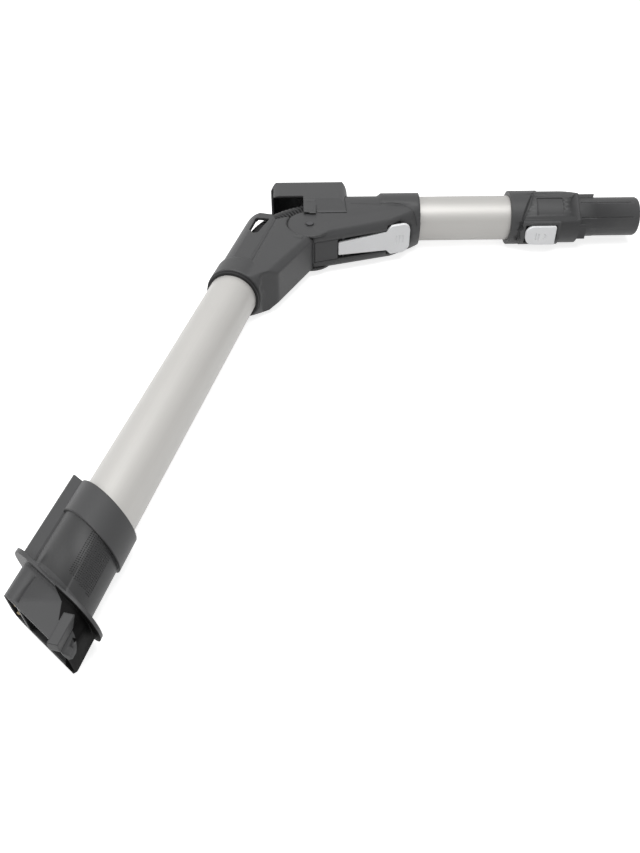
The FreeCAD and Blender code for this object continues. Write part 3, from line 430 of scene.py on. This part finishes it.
class Moulding:
    """A merged copy of one solid of the wand that stands for it, once grooves are cut in it."""

    step = 0.002
    clearance = 0.003
    merge_distance = 0.000002
    flat_angle = math.radians(0.5)
    sharp_angle = math.radians(28)

    def __init__(self, node, name, body, finish):
        shape = bmesh.new()
        shape.from_mesh(nodes[node].data)
        bmesh.ops.remove_doubles(shape, verts=shape.verts, dist=self.merge_distance)
        bmesh.ops.dissolve_limit(shape, angle_limit=self.flat_angle,
                                 verts=shape.verts, edges=shape.edges)
        self.node = node
        self.body = body
        self.item = bpy.data.objects.new(name, mesh_of(shape, name))
        self.item.data.materials.clear()
        self.item.data.materials.append(finish)
        self.tools = []
        scene.collection.objects.link(self.item)

    def cut_with(self, shape):
        """Takes a closed shape out of the copy."""
        name = self.item.name + "_tool"
        tool = bpy.data.objects.new(name, mesh_of(shape, name))
        scene.collection.objects.link(tool)
        cutter = self.item.modifiers.new("groove", "BOOLEAN")
        cutter.operation = "DIFFERENCE"
        cutter.solver = "EXACT"
        cutter.object = tool
        self.tools.append(tool)

    def groove(self, points, width, depth):
        """Cuts a channel that follows the surface between the points."""
        track = []
        for first, second in zip(points, points[1:]):
            first, second = Vector(first), Vector(second)
            steps = max(1, round((second - first).length / self.step))
            track += [first.lerp(second, k / steps) for k in range(steps)]
        track.append(Vector(points[-1]))
        found = [self.item.closest_point_on_mesh(point)[1:3] for point in track]
        corners = ((-1, -depth), (1, -depth), (1, self.clearance), (-1, self.clearance))
        shape = bmesh.new()
        rings = []
        for k, (spot, outward) in enumerate(found):
            ahead = found[min(k + 1, len(found) - 1)][0] - found[max(k - 1, 0)][0]
            side = ahead.cross(outward).normalized() * width / 2
            rings.append([shape.verts.new(spot + side * sign + outward * rise)
                          for sign, rise in corners])
        for first, second in zip(rings, rings[1:]):
            for k in range(4):
                shape.faces.new((first[k], first[(k + 1) % 4], second[(k + 1) % 4], second[k]))
        shape.faces.new(rings[0][::-1])
        shape.faces.new(rings[-1])
        bmesh.ops.recalc_face_normals(shape, faces=shape.faces)
        self.cut_with(shape)

    def finish(self, slot):
        """Makes the cuts final and lets the copy stand for its solid."""
        done = plain_mesh(self.item)
        self.item.modifiers.clear()
        self.item.data = done
        for tool in self.tools:
            bpy.data.objects.remove(tool)
        done.shade_smooth()
        done.set_sharp_from_angle(angle=self.sharp_angle)
        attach(self.item, self.body)
        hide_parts(self.node)


housing_seam = [
    (-0.0224, 0.1999, 0.0422), (-0.0129, 0.1994, 0.0421), (-0.0018, 0.1988, 0.0421),
    (0.0059, 0.1980, 0.0432), (0.0139, 0.1980, 0.0435), (0.0195, 0.1972, 0.0434),
    (0.0240, 0.1950, 0.0425), (0.0275, 0.1915, 0.0415), (0.0305, 0.1880, 0.0395),
    (0.0325, 0.1852, 0.0351), (0.0337, 0.1836, 0.0292)]
upper_housing = Moulding("upper_core", "upper_housing", "upper_wand", soft_plastic)
upper_housing.groove(housing_seam, width=0.0006, depth=0.0005)
upper_housing.finish("dark_plastic")


# --- Yoke -------------------------------------------------------------------------------------
# The lower half of the joint, moulded in dark plastic with soft edges and screwed to its cover
# along the seam. It grips the long tube.
finish_nodes(soft_plastic, "yoke_core")


# --- Latch hook -------------------------------------------------------------------------------
# A grey plastic hook that turns on a steel pin under the hood. It holds the joint straight until
# the lever lifts it.
hook_plastic = moulded_plastic("hook_plastic", (0.11, 0.11, 0.115), roughness=0.5,
                               relief=fine_relief, edge=0.0004)
finish_nodes(hook_plastic, "latch_hook")


# --- Release lever ----------------------------------------------------------------------------
# A light grey plastic lever that turns on a pin in a tray of the upper housing. Its round pad has
# three plain bars pressed into it where a finger goes.
light_plastic = moulded_plastic("light_plastic", (0.86, 0.865, 0.875), roughness=0.42,
                                relief=0.00003, edge=0.0006)
pad_middle = Vector((0.0183, 0.1724, 0.0225))
lever_axis = Vector((0.9627, 0.2706, 0))
bar_pitch = 0.003
half_bar = Vector((0, 0, 0.004))
release_lever = Moulding("push_lever", "release_lever", "release_lever", light_plastic)
for place in (-bar_pitch, 0.0, bar_pitch):
    middle = pad_middle + lever_axis * place
    release_lever.groove([middle + half_bar, middle - half_bar], width=0.0008, depth=0.0003)
release_lever.finish("light_plastic")


# --- End collar and spigot --------------------------------------------------------------------
# One dark moulding glued on the short tube. A wide groove parts its band from the panel, and the
# bare spigot carries two fine lines along it, where the halves of the mould met.
spigot_radius = 0.01655
spigot_start = Vector((0.1790, 0.20685, 0.023))
spigot_end = Vector((0.2240, 0.20685, 0.023))
band_gap = [
    (0.1366, 0.2078, 0.0455), (0.1349, 0.2028, 0.0448), (0.1323, 0.1964, 0.0426),
    (0.1301, 0.1918, 0.0393), (0.1275, 0.1880, 0.0348), (0.1253, 0.1856, 0.0294),
    (0.1234, 0.1839, 0.0226), (0.1228, 0.1866, 0.0121)]
end_fitting = Moulding("end_collar", "end_fitting", "upper_wand", dark_plastic)
for turn in (math.radians(15.5), math.radians(63.6)):
    lift = Vector((0, -math.sin(turn), math.cos(turn))) * spigot_radius
    end_fitting.groove([spigot_start + lift, spigot_end + lift], width=0.0007, depth=0.0005)
end_fitting.groove(band_gap, width=0.0022, depth=0.0016)
end_fitting.finish("dark_plastic")


# --- Lock button ------------------------------------------------------------------------------
# A light grey plastic button that slides in the end collar and frees the handle. Two bars and a
# plain chevron are pressed into its face.
key_face = 0.1814
bar_foot = 0.0150
lock_key = Moulding("lock_button", "lock_key_cap", "lock_key", light_plastic)
for across, bar_top in ((0.1385, 0.0215), (0.1410, 0.0205)):
    lock_key.groove([(across, key_face, bar_foot), (across, key_face, bar_top)],
                    width=0.0008, depth=0.0003)
chevron = [(0.1455, key_face, 0.0160), (0.1478, key_face, 0.0183), (0.1455, key_face, 0.0206)]
lock_key.groove(chevron, width=0.0010, depth=0.0003)
lock_key.finish("light_plastic")


# --- Connector --------------------------------------------------------------------------------
# The dark moulded end for the cleaning head: cuff, sunken grip, slanted flange and a nose that
# holds the air mouth and the plug, with a fine line between the two and a slot beside the catch.
# The side of the nose is painted black and the grip darker, both painted shade. The tip is blunt.
tube_axis = Vector((-0.2706, -0.9627, 0))
tube_side = Vector((0.9627, -0.2706, 0))
upright = Vector((0, 0, 1))
rim_normal = Vector((0.6914, 0.7142, 0.1091))
nose_rim = -0.2780
grip_rims = (-0.2750, -0.2414)
grip_back = -0.1608
grip_shade = 0.42
zone_blur = 0.0003
steep_edge = (0.98, 0.38131)
gentle_edge = (0.34, 0.21751)
side_foot = 0.025
side_knee = 0.276
side_rise = 1.3


def reach(made, place, direction):
    """How far a point of the connector lies in a direction."""
    return made.node("ShaderNodeVectorMath", {"operation": "DOT_PRODUCT"}, "Value",
                     {0: place, 1: direction})


def zone(*margins):
    """1 where a point is inside every margin and 0 outside, with a hair's breadth between."""
    least = margins[0]
    for margin in margins[1:]:
        least = least.at_most(margin)
    return (least / zone_blur).at_least(0.0).at_most(1.0)


def painted_recess_shade(made, place):
    """Painted shade for a deep recess: the side of the nose under the flange, outside two edges
    and under a bent line.
    """
    along = reach(made, place, tube_axis)
    steep, gentle = [along * slope - start for slope, start in (steep_edge, gentle_edge)]
    top = (side_knee - along).at_least(0.0) * side_rise + side_foot
    return zone(reach(made, place, tube_side) - steep.at_most(gentle),
                nose_rim - reach(made, place, rim_normal), top - reach(made, place, upright))


def painted_grip_shade(made, place):
    """Painted shade on the sunken grip between the cuff and the flange, making it darker."""
    rim = reach(made, place, rim_normal)
    return zone(reach(made, place, tube_side) - grip_back, grip_rims[1] - rim,
                rim - grip_rims[0]).at_most(grip_shade)


# Painted shade darkens the grip and blacks out the side of the nose under the flange.
connector_plastic = moulded_plastic("connector_plastic", housing_grey, roughness=0.5,
                                    relief=mould_relief, edge=housing_edge,
                                    painted_shade=painted_grip_shade, painted_recess=painted_recess_shade)
connector = Moulding("connector_body", "connector_end", "lower_wand", connector_plastic)
plug_line = [(-0.2120, -0.1945, 0.0365), (-0.2144, -0.2012, 0.0365), (-0.2175, -0.2113, 0.0365)]
catch_slot = [(-0.1857, -0.2300, 0.0308), (-0.1866, -0.2350, 0.0300)]
connector.groove(plug_line, width=0.0008, depth=0.0006)
connector.groove(catch_slot, width=0.0030, depth=0.0014)
tip = Vector((-0.1870, -0.2406, 0.0165))
tip_outward = Vector((0.264, -0.959, -0.108))
tip_blunted = 0.0026
block_size = 0.04
block_middle = tip + tip_outward * (block_size / 2 - tip_blunted)
tip_block = bmesh.new()
bmesh.ops.create_cube(tip_block, size=block_size, matrix=Matrix.Translation(block_middle)
                      @ tip_outward.to_track_quat("Z", "Y").to_matrix().to_4x4())
connector.cut_with(tip_block)
connector.finish("dark_plastic")


# --- Grip dots --------------------------------------------------------------------------------
# The connector's grip carries a field of small round dots, moulded in one piece with it. They
# stand in rows round its outer side, between the cuff and the flange.
dot_pitch = 0.0014
dot_radius = 0.00042
grip_radius = 0.021
dot_rows = 34
dot_columns = 13
first_row = 0.356
first_column = math.radians(112)
field_rims = (-0.269, -0.236)
outer_side = -tube_side
dot_places = []
for row in range(dot_rows):
    for column in range(dot_columns):
        turn = first_column + column * dot_pitch / grip_radius
        spot = hinge + outer_side * tube_offset + tube_axis * (first_row + row * dot_pitch)
        spot = spot + (outer_side * math.cos(turn) + upright * math.sin(turn)) * grip_radius
        if field_rims[0] < spot.dot(rim_normal) < field_rims[1]:
            dot_places.append(spot)
dot_mesh = bpy.data.meshes.new("grip_dots")
dot_mesh.from_pydata(dot_places, [], [])
grip_dots = bpy.data.objects.new("grip_dots", dot_mesh)
scene.collection.objects.link(grip_dots)

field = Pattern("dot_field", Places="Geometry", Radius="Float")
bead = field.node("GeometryNodeMeshIcoSphere", Radius=field.given["Radius"], Subdivisions=2)
strewn = field.node("GeometryNodeInstanceOnPoints", Points=field.given["Places"], Instance=bead)
dot_mesh = field.grown_on(grip_dots, strewn, Radius=dot_radius, Finish=connector_plastic)
grip_dots.modifiers.clear()
grip_dots.data = dot_mesh
dot_mesh.shade_smooth()
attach(grip_dots, "lower_wand")
